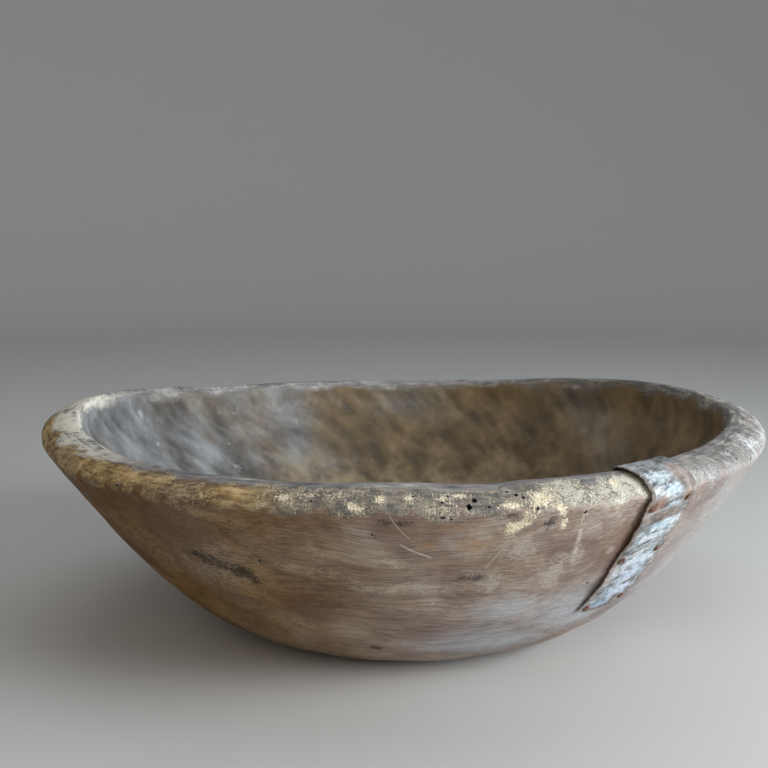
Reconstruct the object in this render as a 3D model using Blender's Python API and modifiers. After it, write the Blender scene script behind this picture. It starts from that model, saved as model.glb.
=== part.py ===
"""A hand-carved wooden bowl, mended with a strap of sheet steel folded over its rim and nailed.

The bowl is one carved block. Its section is drawn round and is then drifted out of round, as wood
carved by eye and dried unevenly is: longer near +X, a little square, with a wavy rim.
The origin is the middle of the flat base. The strap faces -Y and +X, and its legs run down both
sides of the wall.
"""

from math import atan2, cos, hypot, pi, radians, sin

import bmesh
import bpy
import numpy as np
from mathutils import Vector

# The bowl's section, before it is drifted out of round (metres)
RIM_HEIGHT = 0.1410
CREST_RADIUS = 0.217
WALL_TOP_RADIUS = 0.2388
WALL_TOP_HEIGHT = 0.1275
WALL_SLOPE = radians(58.0)
BASE_RADIUS = 0.097
FOOT_HANDLE = 0.048
WALL_HANDLE = 0.082
WALL_THICKNESS = 0.0190
INNER_WALL_TOP = 0.88
OUTER_ROUND_HANDLE = 0.0065
CREST_HANDLE = 0.012
INNER_CREST_HANDLE = 0.006
INNER_ROUND_HANDLE = 0.012

# How far the carved bowl has drifted from round, in full at the rim and nothing at the base.
# Each line is the number of waves round the bowl, their size and the bearing of one of their tops:
# first how they widen it, as a share of its radius, then how they lift its rim, in metres.
WIDENING_WAVES = (
    (2, 0.030, radians(21.0)),
    (4, 0.008, radians(22.5)),
)
LIFTING_WAVES = (
    (2, 0.0060, radians(4.0)),
    (3, 0.0020, radians(49.0)),
    (4, 0.0010, radians(3.0)),
    (5, 0.0009, radians(-33.0)),
)

# The strap, one strip of sheet steel folded over the rim
STRAP_BEARING = radians(-54.2)
STRAP_WIDTH = 0.037
STRAP_THICKNESS = 0.0009
STRAP_OUTER_LEG = 0.128
STRAP_INNER_LEG = 0.064
STRAP_LEAN = 0.042
STRAP_ROW = 0.0030
STRAP_COLUMNS = 4

# The nails: the distance of each row from the crest, and of its two nails from the middle
NAIL_HEAD_RADIUS = 0.0024
NAIL_HEAD_HEIGHT = 0.0009
NAIL_HEAD_EDGE = 0.0004
NAIL_SHANK_RADIUS = 0.0011
NAIL_LENGTH = 0.0115
NAIL_POINT = 0.0035
OUTER_NAIL_ROWS = {"top": 0.0340, "middle": 0.0755, "bottom": 0.1215}
OUTER_NAIL_SPREAD = 0.0138
OUTER_NAIL_SLANT = 0.0016
INNER_NAIL_ROWS = {"upper": 0.0285, "lower": 0.0535}
INNER_NAIL_SPREAD = 0.0075

# The gaps that stand for contact, and how finely each shape is divided
GAP = 0.0003
STRAP_GAP = 0.0005
BOWL_STEPS = 90
WALL_ROWS = 14
ROUND_ROWS = 5
FINE_WALL_ROWS = 160
FINE_ROUND_ROWS = 60
SLOPE_STEP = 0.0005
NAIL_STEPS = 12
DOME_ROWS = 4
MERGE_DISTANCE = 0.00001
SMOOTH_ANGLE = radians(35.0)


def curve(start, start_handle, end_handle, end, rows, until=1.0):
    """Points along a cubic curve and its direction at each."""
    a, b, c, d = (np.array(point) for point in (start, start_handle, end_handle, end))
    t = np.linspace(0.0, until, rows + 1)[:, None]
    points = (1 - t) ** 3 * a + 3 * (1 - t) ** 2 * t * b + 3 * (1 - t) * t**2 * c + t**3 * d
    runs = (1 - t) ** 2 * (b - a) + 2 * (1 - t) * t * (c - b) + t**2 * (d - c)
    return points, runs / np.linalg.norm(runs, axis=1)[:, None]


def wall(rows, until=1.0):
    """The outside of the wall, from the edge of the base up to below the rim."""
    slope = np.array([cos(WALL_SLOPE), sin(WALL_SLOPE)])
    foot = np.array([BASE_RADIUS, 0.0])
    top = np.array([WALL_TOP_RADIUS, WALL_TOP_HEIGHT])
    foot_handle = foot + np.array([FOOT_HANDLE, 0.0])
    return curve(foot, foot_handle, top - WALL_HANDLE * slope, top, rows, until)


def section(wall_rows, round_rows):
    """The whole section from the middle of the floor, over the rim, to the middle of the base,
    and the number of its point on the crest."""
    outside, _ = wall(wall_rows)
    backing, runs = wall(wall_rows, INNER_WALL_TOP)
    inward = np.stack([-runs[:, 1], runs[:, 0]], axis=1)
    inside = backing + WALL_THICKNESS * inward
    crest = np.array([CREST_RADIUS, RIM_HEIGHT])
    level = np.array([1.0, 0.0])
    inner_handle = inside[-1] + INNER_ROUND_HANDLE * runs[-1]
    inner_round, _ = curve(
        inside[-1], inner_handle, crest - INNER_CREST_HANDLE * level, crest, round_rows
    )
    outer_handle = outside[-1] + OUTER_ROUND_HANDLE * np.array([cos(WALL_SLOPE), sin(WALL_SLOPE)])
    outer_round, _ = curve(
        crest, crest + CREST_HANDLE * level, outer_handle, outside[-1], round_rows + 1
    )
    floor_middle = [[0.0, WALL_THICKNESS]]
    base_middle = [[0.0, 0.0]]
    lines = [floor_middle, inside[:-1], inner_round, outer_round[1:-1], outside[::-1], base_middle]
    crest_number = len(inside) + round_rows
    return np.vstack(lines), crest_number


def waves(kinds, bearing):
    return sum(size * cos(number * (bearing - top)) for number, size, top in kinds)


def drift(radius, height, bearing):
    """The place on the finished bowl of a point of the round one."""
    share = height / RIM_HEIGHT * min(1.0, radius / BASE_RADIUS)
    reach = radius * (1 + share * waves(WIDENING_WAVES, bearing))
    lift = share * waves(LIFTING_WAVES, bearing)
    return Vector((reach * cos(bearing), reach * sin(bearing), height + lift))


FINE_SECTION, FINE_CREST = section(FINE_WALL_ROWS, FINE_ROUND_ROWS)
FINE_STEPS = np.linalg.norm(np.diff(FINE_SECTION, axis=0), axis=1)
FINE_DISTANCE = np.concatenate([[0.0], np.cumsum(FINE_STEPS)])
FINE_DISTANCE -= FINE_DISTANCE[FINE_CREST]
FINE_RUN = np.gradient(FINE_SECTION, axis=0)
FINE_RUN /= np.linalg.norm(FINE_RUN, axis=1)[:, None]


def on_strap(along, across, lift):
    """A point over the bowl's wall: along from the crest, positive outside the bowl, across from
    the strap's middle, and lifted off the wood."""
    radius, height = (np.interp(along, FINE_DISTANCE, FINE_SECTION[:, k]) for k in (0, 1))
    run_out, run_up = (np.interp(along, FINE_DISTANCE, FINE_RUN[:, k]) for k in (0, 1))
    size = hypot(run_out, run_up)
    radius += lift * -run_up / size
    height += lift * run_out / size
    sideways = across + STRAP_LEAN * along
    return drift(radius, height, STRAP_BEARING + sideways / radius)


def square_to_strap(along, across, lift):
    """The direction out of the wood at a point of the strap."""
    above = on_strap(along - SLOPE_STEP, across, lift)
    below = on_strap(along + SLOPE_STEP, across, lift)
    left = on_strap(along, across - SLOPE_STEP, lift)
    right = on_strap(along, across + SLOPE_STEP, lift)
    return (below - above).cross(right - left).normalized()


def material(name, colour, roughness, metallic):
    made = bpy.data.materials.new(name)
    made.use_nodes = True
    shader = made.node_tree.nodes["Principled BSDF"]
    shader.inputs["Base Color"].default_value = (*colour, 1.0)
    shader.inputs["Roughness"].default_value = roughness
    shader.inputs["Metallic"].default_value = metallic
    return made


def new_object(name, mesh, collection):
    made = bpy.data.objects.new(name, mesh)
    collection.objects.link(made)
    return made


def turned_mesh(name, profile, steps):
    """A closed solid made by turning a profile round Z with a Screw modifier."""
    mesh = bpy.data.meshes.new(name)
    edges = [(i, i + 1) for i in range(len(profile) - 1)]
    mesh.from_pydata([(radius, 0.0, height) for radius, height in profile], edges, [])
    turned = new_object(name + "_profile", mesh, bpy.context.scene.collection)
    screw = turned.modifiers.new("Turn", "SCREW")
    screw.angle = 2 * pi
    screw.steps = steps
    screw.render_steps = steps
    screw.use_merge_vertices = True
    screw.merge_threshold = MERGE_DISTANCE
    evaluated = turned.evaluated_get(bpy.context.evaluated_depsgraph_get())
    solid = bpy.data.meshes.new_from_object(evaluated)
    solid.name = name
    bpy.data.objects.remove(turned)
    bpy.data.meshes.remove(mesh)
    return solid


def smooth(mesh):
    mesh.shade_smooth()
    mesh.set_sharp_from_angle(angle=SMOOTH_ANGLE)


def cut_nail_holes(target, cutters):
    cut = target.modifiers.new("Nail holes", "BOOLEAN")
    cut.operation = "DIFFERENCE"
    cut.operand_type = "COLLECTION"
    cut.collection = cutters
    cut.solver = "EXACT"


def carved_bowl(parts, cutters, wood):
    """One block of wood, carved out whole, with a blind hole for each nail."""
    profile, _ = section(WALL_ROWS, ROUND_ROWS)
    mesh = turned_mesh("carved_bowl", profile, BOWL_STEPS)
    for vertex in mesh.vertices:
        x, y, z = vertex.co
        vertex.co = drift(hypot(x, y), z, atan2(y, x))
    mesh.materials.append(wood)
    smooth(mesh)
    cut_nail_holes(new_object("carved_bowl", mesh, parts), cutters)


def rim_strap(parts, cutters, steel):
    """One strip of sheet, bent to the wall outside, over the rim and down inside."""
    length = STRAP_OUTER_LEG + STRAP_INNER_LEG
    form = bmesh.new()
    bmesh.ops.create_grid(
        form, x_segments=STRAP_COLUMNS, y_segments=round(length / STRAP_ROW), size=0.5
    )
    for vertex in form.verts:
        across = vertex.co.x * STRAP_WIDTH
        along = (vertex.co.y + 0.5) * length - STRAP_INNER_LEG
        vertex.co = on_strap(along, across, STRAP_GAP)
    bmesh.ops.reverse_faces(form, faces=form.faces)
    mesh = bpy.data.meshes.new("rim_strap")
    form.to_mesh(mesh)
    form.free()
    mesh.materials.append(steel)
    smooth(mesh)
    strap = new_object("rim_strap", mesh, parts)
    sheet = strap.modifiers.new("Sheet", "SOLIDIFY")
    sheet.thickness = STRAP_THICKNESS
    sheet.offset = 1.0
    sheet.use_even_offset = True
    cut_nail_holes(strap, cutters)


def nail_profile():
    """Half of a nail: a low domed head, a round shank and a drawn point."""
    dome_height = NAIL_HEAD_HEIGHT - NAIL_HEAD_EDGE
    turns = [pi / 2 * k / DOME_ROWS for k in range(DOME_ROWS + 1)]
    dome = [(NAIL_HEAD_RADIUS * sin(t), NAIL_HEAD_EDGE + dome_height * cos(t)) for t in turns]
    shank = [
        (NAIL_HEAD_RADIUS, 0.0),
        (NAIL_SHANK_RADIUS, 0.0),
        (NAIL_SHANK_RADIUS, NAIL_POINT - NAIL_LENGTH),
        (0.0, -NAIL_LENGTH),
    ]
    return dome + shank


def nail(name, mesh, along, across, parts, cutters):
    """A nail driven square to the strap, and the hole that it passes down."""
    lift = STRAP_GAP + STRAP_THICKNESS + GAP
    place = on_strap(along, across, lift)
    turn = square_to_strap(along, across, lift).to_track_quat("Z", "Y").to_euler()
    driven = new_object(name, mesh, parts)
    driven.location = place
    driven.rotation_euler = turn
    depth = NAIL_LENGTH + 2 * GAP
    bpy.ops.mesh.primitive_cylinder_add(
        vertices=NAIL_STEPS,
        radius=NAIL_SHANK_RADIUS + GAP,
        depth=2 * depth,
        location=place,
        rotation=turn,
    )
    hole = bpy.context.object
    hole.name = name + "_hole"
    hole.hide_render = True
    hole.display_type = "WIRE"
    for collection in list(hole.users_collection):
        collection.objects.unlink(hole)
    cutters.objects.link(hole)


def nails(parts, cutters, iron):
    """Three pairs outside and two pairs inside, each inner pair set closer together."""
    mesh = turned_mesh("nail", nail_profile(), NAIL_STEPS)
    mesh.materials.append(iron)
    smooth(mesh)
    for row, along in OUTER_NAIL_ROWS.items():
        for side, sign in (("left", -1), ("right", 1)):
            name = f"outer_nail_{row}_{side}"
            distance = along - sign * OUTER_NAIL_SLANT
            nail(name, mesh, distance, sign * OUTER_NAIL_SPREAD, parts, cutters)
    for row, along in INNER_NAIL_ROWS.items():
        for side, sign in (("left", -1), ("right", 1)):
            name = f"inner_nail_{row}_{side}"
            nail(name, mesh, -along, sign * INNER_NAIL_SPREAD, parts, cutters)


def main():
    for old in list(bpy.data.objects):
        bpy.data.objects.remove(old)
    parts = bpy.data.collections.new("mended_carved_bowl")
    cutters = bpy.data.collections.new("cutters")
    for collection in (parts, cutters):
        bpy.context.scene.collection.children.link(collection)
    wood = material("weathered_wood", (0.23, 0.16, 0.11), 0.75, 0.0)
    steel = material("galvanised_sheet", (0.36, 0.38, 0.40), 0.55, 0.8)
    iron = material("rusted_iron", (0.20, 0.09, 0.05), 0.8, 0.4)
    nails(parts, cutters, iron)
    carved_bowl(parts, cutters, wood)
    rim_strap(parts, cutters, steel)


main()
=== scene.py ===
from math import cos, hypot, pi, radians, sin
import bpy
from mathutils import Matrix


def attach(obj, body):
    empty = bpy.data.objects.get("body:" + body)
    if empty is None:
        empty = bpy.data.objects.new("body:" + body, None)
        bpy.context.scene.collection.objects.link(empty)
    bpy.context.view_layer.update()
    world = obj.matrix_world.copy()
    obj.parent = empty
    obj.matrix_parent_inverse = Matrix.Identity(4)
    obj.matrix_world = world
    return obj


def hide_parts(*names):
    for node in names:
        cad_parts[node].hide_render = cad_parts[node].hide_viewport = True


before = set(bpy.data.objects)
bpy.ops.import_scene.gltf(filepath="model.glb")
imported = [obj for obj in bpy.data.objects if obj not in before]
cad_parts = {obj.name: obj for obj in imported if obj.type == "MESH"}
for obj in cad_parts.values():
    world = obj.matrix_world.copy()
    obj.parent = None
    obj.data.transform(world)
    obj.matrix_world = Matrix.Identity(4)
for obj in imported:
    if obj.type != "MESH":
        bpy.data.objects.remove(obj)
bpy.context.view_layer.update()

from types import SimpleNamespace

import bmesh
import bpy
import numpy as np
from mathutils import Matrix, Vector


# --- The carved bowl's form ---------------------------------------------------------------------
# One block of wood, hollowed with a gouge and shaved outside with a drawknife, then worn smooth.
# Its form starts round, drifts out of round as the real one did while it dried, and is scooped
# all over by a tree of nodes, as the gouge and the drawknife did.

RIM_HEIGHT = 0.1410
CREST_RADIUS = 0.217
WALL_TOP = (0.2388, 0.1275)
WALL_RUN = (cos(radians(58.0)), sin(radians(58.0)))
BASE_RADIUS = 0.097
WALL_THICKNESS = 0.0190
INNER_WALL_TOP = 0.88

# How far each curve of the section runs on before it bends
FOOT_HANDLE = 0.048
WALL_HANDLE = 0.082
INNER_ROUND_HANDLE = 0.012
INNER_CREST_HANDLE = 0.006
OUTER_CREST_HANDLE = 0.012
OUTER_ROUND_HANDLE = 0.0065

# The waves that widen the bowl, as a share of its radius, and lift its rim, in metres: each is
# their number round the bowl, their size and the bearing of one of their tops
WIDENING_WAVES = ((2, 0.030, radians(21.0)), (4, 0.008, radians(22.5)))
LIFTING_WAVES = ((2, 0.0060, radians(4.0)), (3, 0.0020, radians(49.0)),
                 (4, 0.0010, radians(3.0)), (5, 0.0009, radians(-33.0)))

BOWL_COLUMNS = 560
COLUMN_CROWDING = 0.42


def curve(start, start_handle, end_handle, end, rows, until=1.0):
    """Points along a cubic curve and its direction at each."""
    a, b, c, d = (np.array(point) for point in (start, start_handle, end_handle, end))
    t = np.linspace(0.0, until, rows + 1)[:, None]
    points = (1 - t) ** 3 * a + 3 * (1 - t) ** 2 * t * b + 3 * (1 - t) * t**2 * c + t**3 * d
    runs = (1 - t) ** 2 * (b - a) + 2 * (1 - t) * t * (c - b) + t**2 * (d - c)
    return points, runs / np.linalg.norm(runs, axis=1)[:, None]


def wall(rows, until=1.0):
    """The outside of the wall, from the edge of the base up to below the rim."""
    foot, top, run = np.array([BASE_RADIUS, 0.0]), np.array(WALL_TOP), np.array(WALL_RUN)
    foot_handle = foot + np.array([FOOT_HANDLE, 0.0])
    return curve(foot, foot_handle, top - WALL_HANDLE * run, top, rows, until)


def section(floor_rows, inner_rows, round_rows, outer_rows, base_rows):
    """The section from the middle of the floor, over the rim, to the middle of the base, and each
    point's distance from the crest: less than nothing inside, more outside."""
    outside, _ = wall(outer_rows)
    backing, runs = wall(inner_rows, INNER_WALL_TOP)
    inside = backing + WALL_THICKNESS * np.stack([-runs[:, 1], runs[:, 0]], axis=1)
    crest, level = np.array([CREST_RADIUS, RIM_HEIGHT]), np.array([1.0, 0.0])
    inner_round, _ = curve(inside[-1], inside[-1] + INNER_ROUND_HANDLE * runs[-1],
                           crest - INNER_CREST_HANDLE * level, crest, round_rows)
    outer_round, _ = curve(crest, crest + OUTER_CREST_HANDLE * level,
                           outside[-1] + OUTER_ROUND_HANDLE * np.array(WALL_RUN), outside[-1],
                           round_rows + 4)
    floor = np.linspace([0.0, WALL_THICKNESS], inside[0], floor_rows + 1)
    base = np.linspace(outside[0], [0.0, 0.0], base_rows + 1)
    stretches = [floor[:-1], inside[:-1], inner_round, outer_round[1:-1], outside[::-1], base[1:]]
    points = np.vstack(stretches)
    travelled = np.concatenate([[0.0], np.cumsum(np.linalg.norm(np.diff(points, axis=0), axis=1))])
    return points, travelled - travelled[floor_rows + inner_rows + round_rows]


def waves(kinds, bearing):
    return sum(size * np.cos(number * (bearing - top)) for number, size, top in kinds)


def drift(radius, height, bearing):
    """The place on the finished bowl of a point of the round one; the arguments may be arrays."""
    share = height / RIM_HEIGHT * np.minimum(1.0, radius / BASE_RADIUS)
    reach = radius * (1 + share * waves(WIDENING_WAVES, bearing))
    lifted = height + share * waves(LIFTING_WAVES, bearing)
    return np.stack([reach * np.cos(bearing), reach * np.sin(bearing), lifted], -1)


FINE_SECTION, FINE_DISTANCE = section(floor_rows=40, inner_rows=160, round_rows=60, outer_rows=160,
                                      base_rows=40)
FINE_RUN = np.gradient(FINE_SECTION, axis=0)
FINE_RUN /= np.linalg.norm(FINE_RUN, axis=1)[:, None]


def over_wall(along, bearing, lift, across=0.0):
    """Points lifted off the wall: along from the crest, on a bearing, and across from it."""
    radius, height = (np.interp(along, FINE_DISTANCE, FINE_SECTION[:, k]) for k in (0, 1))
    run_out, run_up = (np.interp(along, FINE_DISTANCE, FINE_RUN[:, k]) for k in (0, 1))
    size = np.hypot(run_out, run_up)
    radius = radius - lift * run_up / size
    height = height + lift * run_out / size
    return drift(radius, height, bearing + across / radius)


def grid_mesh(name, points, closed_round):
    """A mesh over rows and columns of points; its last column may meet its first."""
    rows, columns = points.shape[:2]
    number = np.arange(rows * columns).reshape(rows, columns)
    right = np.roll(number, -1, axis=1)
    if not closed_round:
        number, right = number[:, :-1], right[:, :-1]
    quads = np.stack([number[:-1], right[:-1], right[1:], number[1:]], -1).reshape(-1, 4)
    mesh = bpy.data.meshes.new(name)
    mesh.from_pydata(points.reshape(-1, 3).tolist(), [], quads.tolist())
    return mesh


def keep_place(mesh, name, *values):
    """Stores three numbers of its own on each point of a mesh, for the node trees to read."""
    layer = mesh.attributes.new(name, "FLOAT_VECTOR", "POINT")
    filled = np.zeros((len(mesh.vertices), 3), dtype=np.float32)
    for column, value in enumerate(values):
        filled[:value.size, column] = value.ravel()
    layer.data.foreach_set("vector", filled.ravel())


def patches(across, along, *ovals):
    """How far inside the nearest of some oval patches each point lies: 1 at its middle, a half on
    its edge. An oval is, in millimetres, its place across and along and its half sizes, and then
    the degrees that it is turned, falling to the right."""
    inside = np.zeros_like(along)
    for place, down, half_across, half_down, turn in ovals:
        aside, fall = across * 1000 - place, along * 1000 - down
        c, s = cos(radians(turn)), sin(radians(turn))
        away = np.hypot((aside * c + fall * s) / half_across, (fall * c - aside * s) / half_down)
        inside = np.maximum(inside, np.clip(1.25 - 0.75 * away, 0.0, 1.0))
    return inside


def wall_patches(bearing, along, *ovals):
    """The same on the bowl's wall, where an oval's place across is a bearing in degrees."""
    around = WALL_TOP[0] * 1000
    placed = [(radians(degrees) * around, *rest) for degrees, *rest in ovals]
    return patches(bearing * WALL_TOP[0], along, *placed)


def close_ends(mesh, columns, *heights):
    """Closes a turned mesh with a fan of faces from each end ring to a point on its middle line."""
    form = bmesh.new()
    form.from_mesh(mesh)
    verts = list(form.verts)
    for ring, height in zip((verts[:columns], verts[-columns:]), heights):
        middle = form.verts.new((0.0, 0.0, height))
        for k in range(columns):
            form.faces.new((ring[k], ring[(k + 1) % columns], middle))
    bmesh.ops.recalc_face_normals(form, faces=form.faces)
    form.to_mesh(mesh)
    form.free()


def bowl_mesh():
    """The drifted bowl. Its columns lie closest together in front, where the fine marks are."""
    profile, from_crest = section(floor_rows=16, inner_rows=52, round_rows=14, outer_rows=62,
                                  base_rows=12)
    turn = np.linspace(-1.5 * pi, 0.5 * pi, BOWL_COLUMNS, endpoint=False)
    bearing, radius = np.meshgrid(turn - COLUMN_CROWDING * np.cos(turn), profile[1:-1, 0])
    height = np.repeat(profile[1:-1, 1:], BOWL_COLUMNS, axis=1)
    mesh = grid_mesh("bowl", drift(radius, height, bearing), closed_round=True)
    close_ends(mesh, BOWL_COLUMNS, WALL_THICKNESS, 0.0)
    along = np.repeat(from_crest[1:-1, None], BOWL_COLUMNS, axis=1)
    middles = np.array([from_crest[0], from_crest[-1]])
    keep_place(mesh, "wall_place", np.append(along, middles), radius)
    keep_stains(mesh, bearing, along)
    return mesh


def keep_stains(mesh, bearing, along):
    """The places of the old stains, wax, rubbed spots and dents, which the wood's trees read. The
    silver patches among them are partly weathering and partly a painted sheen of cool light.
    """

    def spots(*ovals):
        return wall_patches(bearing, along, *ovals)

    wax = spots(
        (-73.5, 16.5, 9, 7.5, 0), (-74.8, 23, 5, 7, 35), (-76.2, 31, 5, 7, 35),
        (-77.8, 39, 4.5, 7, 35), (-78.6, 23, 7, 2, 0), (-71.8, 27, 2.5, 7, -25),
        (-70.8, 38, 2.5, 5, 0), (-95, 17, 3, 4, 0), (-98.3, 22, 6, 2.2, 25), (-91, 17, 3, 5, 20),
        (-107.5, 17, 4, 3, 0), (-84.5, 14, 5, 2, 0), (-68, 11, 5, 2, 0), (-62.5, 13, 3, 4, 0),
        (-103, 15, 9, 1.6, 0), (-87, 17, 4, 2, 0))
    dark = spots(
        (-77.8, 30, 6, 2.6, 0), (-73.0, 36, 4, 6, 0), (-68.2, 31, 2, 1.6, 0),
        (-122.5, 75, 15, 6.0, 22), (-116.8, 84, 13, 6.5, 34), (-95.5, 43, 3.6, 2.2, 0),
        (-60.8, 96, 1.2, 1.2, 0), (-98, 158, 7, 3, 0), (-82, 78, 9, 4, 0),
        (-113, 70, 3, 1.4, 25), (-93, 33, 9, 3, 0))
    warm = spots(
        (-88.5, 51, 6, 4, 0), (-82.5, 51, 10, 6, 0), (-103, 32, 30, 9, 0),
        (-112.5, 71, 5, 2, 25), (-108, 110, 22, 20, 0), (-60, 60, 18, 26, 0),
        (-82, 66, 24, 8, 0), (-90, 37, 40, 10, 4))
    keep_place(mesh, "stains", wax, dark, warm)
    pale = spots(
        (-76.0, 54, 14, 9, 0), (-67.0, 58, 1.4, 12, -8), (-66.4, 68, 6, 6, 0),
        (-79.2, 83, 12, 8, 25), (-87.2, 101, 1.6, 3.4, 0), (-95.6, 39, 2.4, 1.3, 0),
        (-60.5, 66, 4, 3, 0), (-98, 62, 30, 5, 9), (-84.5, 45, 7, 1.6, 30), (-86, 29, 8, 4, 0),
        (-104, 76, 30, 5, 9), (-69, 80, 11, 15, 0), (-118, 34, 26, 4, 10), (-92, 88, 34, 5, 3))
    # Silver patches: partly weathered wood, partly a painted sheen of cool light on the lower right
    silver = spots(
        (-58, 122, 60, 34, 0), (-74, 153, 64, 26, 0), (-30, 90, 75, 90, 0),
        (-74, 110, 26, 14, 0), (-36, 50, 30, 40, 0))
    golden = spots(
        (-135, 16, 70, 13, 0), (-160, 14, 60, 16, 0), (-195, 14, 80, 14, 0), (-115, 18, 26, 9, 0))
    keep_place(mesh, "bleaching_and_sheen", pale, silver, golden)
    dents = spots(
        (-121.8, 76, 12, 4, 22), (-116.8, 84, 11, 4, 34), (-95.5, 43, 4, 3, 0),
        (-88.5, 51, 8, 4, 20), (-97, 23, 6, 3, 25), (-104, 22, 5, 3, 0), (-66, 22, 6, 3, 0))
    worn = spots((-73.5, 24, 16, 12, 0), (-91, 20, 10, 5, 0))
    amber = spots(
        (-88.5, 51, 7, 5, 0), (-82.3, 51, 11, 7, 0), (-112.5, 71, 4.5, 3, 25),
        (-99, 30, 9, 3, 0), (-84, 38, 12, 3, 0), (-118, 100, 8, 5, 0))
    keep_place(mesh, "dents", dents, worn, amber)


class Tree:
    """Short ways to add nodes and join them, for geometry and shader trees alike."""

    def __init__(self, tree):
        self.tree = tree

    def add(self, kind, settings=None, **inputs):
        node = self.tree.nodes.new(kind)
        for name, value in (settings or {}).items():
            setattr(node, name, value)
        for name, value in inputs.items():
            self.put(node, name.replace("_", " "), value)
        return node

    def put(self, node, name, value):
        socket = node.inputs[int(name)] if name.isdigit() else node.inputs[name]
        if isinstance(value, bpy.types.NodeSocket):
            self.tree.links.new(value, socket)
        else:
            socket.default_value = value

    def math(self, operation, *values):
        node = self.add("ShaderNodeMath", {"operation": operation})
        for number, value in enumerate(values):
            self.put(node, str(number), value)
        return node.outputs[0]

    def product(self, *values):
        result = values[0]
        for value in values[1:]:
            result = self.math("MULTIPLY", result, value)
        return result

    def blend(self, *shares):
        """The sum of some values, each times its share."""
        result = self.math("MULTIPLY", *shares[0])
        for value, share in shares[1:]:
            result = self.math("MULTIPLY_ADD", value, share, result)
        return result

    def fit(self, value, low, high, to_low=0.0, to_high=1.0):
        """value taken smoothly from low..high to to_low..to_high, and held at both ends."""
        node = self.add("ShaderNodeMapRange", {"interpolation_type": "SMOOTHSTEP"})
        for name, number in (("Value", value), ("From Min", low), ("From Max", high),
                             ("To Min", to_low), ("To Max", to_high)):
            self.put(node, name, number)
        return node.outputs[0]

    def join(self, x, y, z):
        return self.add("ShaderNodeCombineXYZ", X=x, Y=y, Z=z).outputs[0]

    def parts(self, vector):
        return self.add("ShaderNodeSeparateXYZ", Vector=vector).outputs

    def noise(self, vector, scale, detail=2.0, roughness=0.5, stretch=None):
        if stretch is not None:
            vector = self.add("ShaderNodeMapping", Vector=vector, Scale=stretch).outputs[0]
        node = self.add("ShaderNodeTexNoise", Vector=vector, Scale=scale, Detail=detail,
                        Roughness=roughness)
        return node.outputs[0]

    def cells(self, vector):
        return self.add("ShaderNodeTexVoronoi", Vector=vector, Scale=1.0).outputs["Distance"]


def named_inputs(tree, kinds):
    for name, kind, value in kinds:
        socket = tree.interface.new_socket(name, in_out="INPUT", socket_type="NodeSocket" + kind)
        if value is not None:
            socket.default_value = value


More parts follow.
